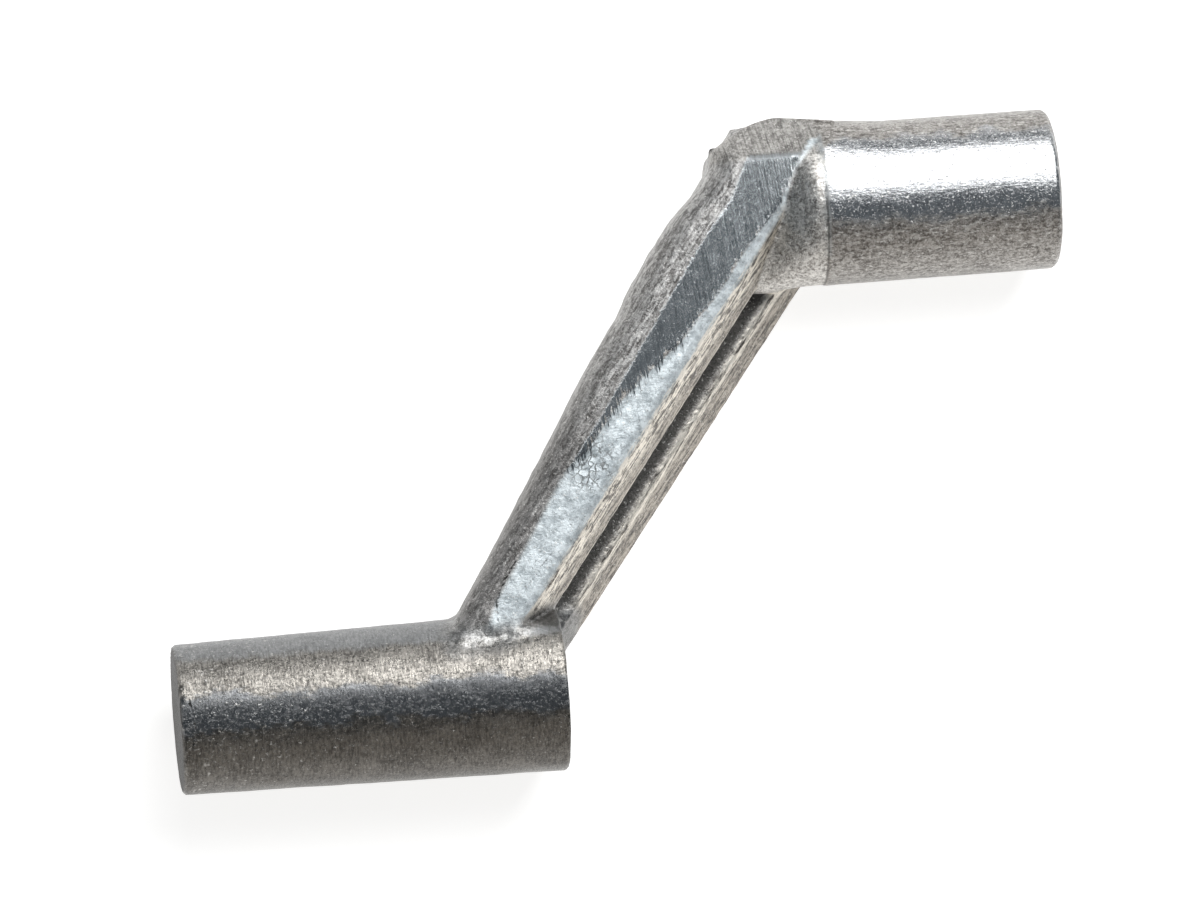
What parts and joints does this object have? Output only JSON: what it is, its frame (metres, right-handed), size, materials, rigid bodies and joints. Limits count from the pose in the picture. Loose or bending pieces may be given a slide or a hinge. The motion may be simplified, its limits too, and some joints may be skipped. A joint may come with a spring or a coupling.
{
  "type": "crank handle",
  "caption": "Z-shaped die-cast crank handle: a splined hub socket, a sloping channel arm and a parallel grip, locked on its shaft by a set screw.",
  "frame": {"origin": "centre of the shaft socket's flat floor, where the operator shaft stops", "axes": "+X out of the socket along the hub's axis; +Y in the crank's plane, from the grip's axis to the hub's; +Z through the thickness, away from the surface that the crank lies on"},
  "size_m": [0.0906, 0.0626, 0.0158],
  "materials": {
    "cast_zinc": "as-cast zinc alloy, bare, with one ground flat",
    "black_steel": "black oxide steel"
  },
  "bodies": {
    "handle": {"crank_casting": "cast_zinc"},
    "set_screw": {"set_screw": "black_steel"}
  },
  "joints": [
    {"name": "set_screw_travel", "type": "slide", "parent": "handle", "child": "set_screw", "axis": [0, 0.866, -0.5], "range_m": [-0.0008, 0.0016]}
  ]
}
